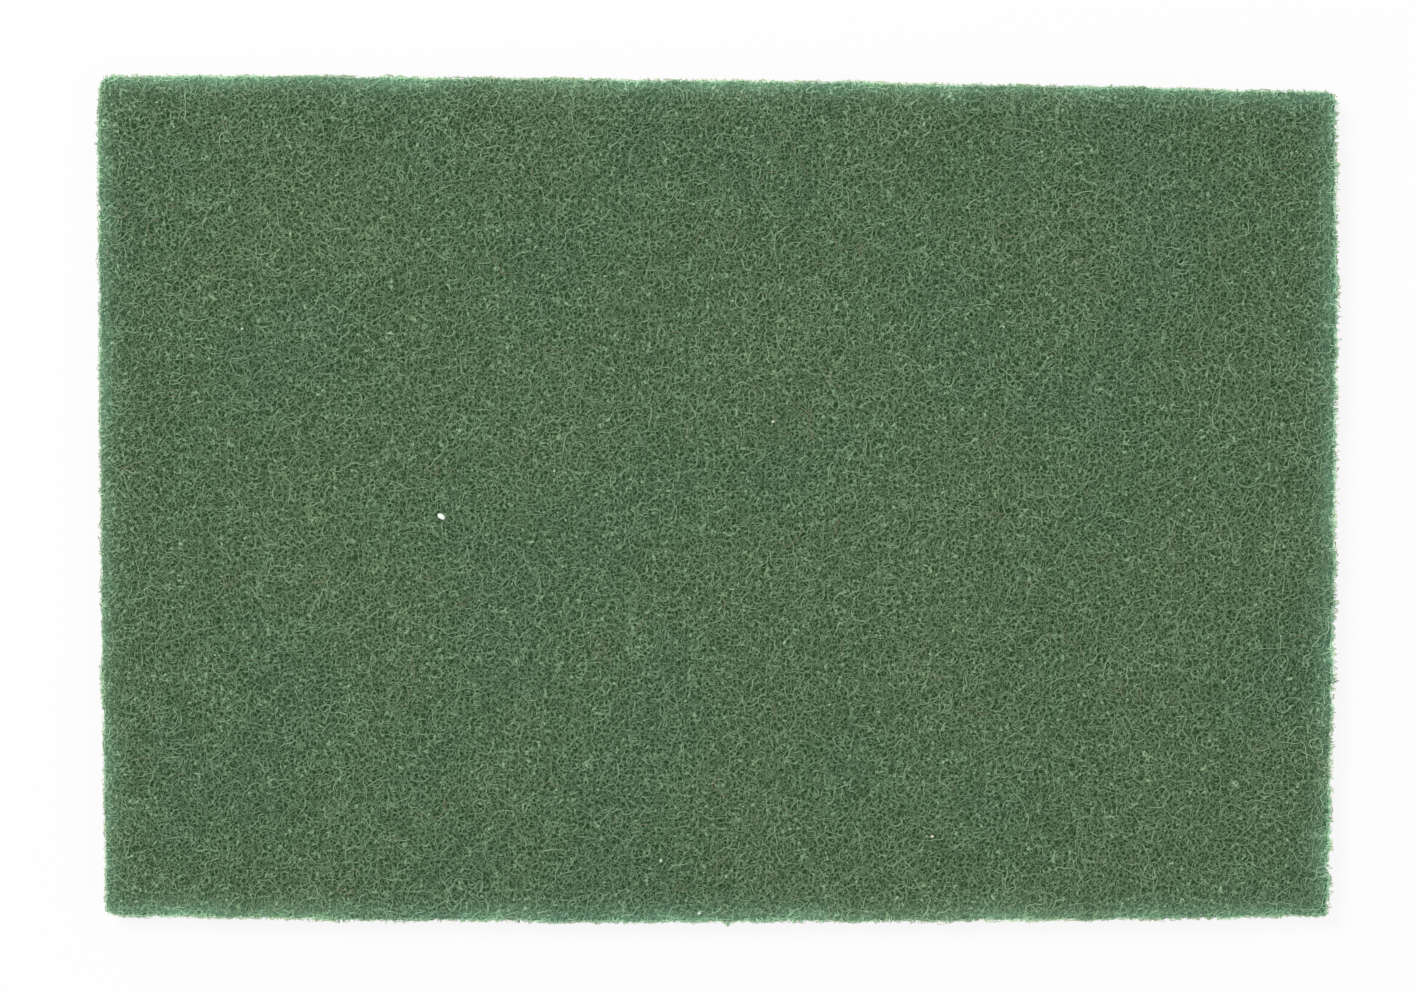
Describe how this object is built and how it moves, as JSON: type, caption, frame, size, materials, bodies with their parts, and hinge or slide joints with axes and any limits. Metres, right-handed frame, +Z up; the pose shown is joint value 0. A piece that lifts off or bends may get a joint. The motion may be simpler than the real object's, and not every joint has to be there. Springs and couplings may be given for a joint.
{
  "type": "nylon scouring pad",
  "caption": "Flat rectangular scouring pad of springy non-woven nylon web, with blade-cut edges and slightly lumpy faces.",
  "frame": {"origin": "centre of the pad's outline, on the plane that its underside rests on", "axes": "+X along the pad's length, +Y across its width towards the back edge, +Z up out of the upper face"},
  "size_m": [0.2308, 0.158, 0.0076],
  "materials": {
    "nylon_web": "matt resin-bonded non-woven nylon web, moss green, springy and open"
  },
  "bodies": {
    "root": {"scouring_pad": "nylon_web"}
  },
  "joints": []
}
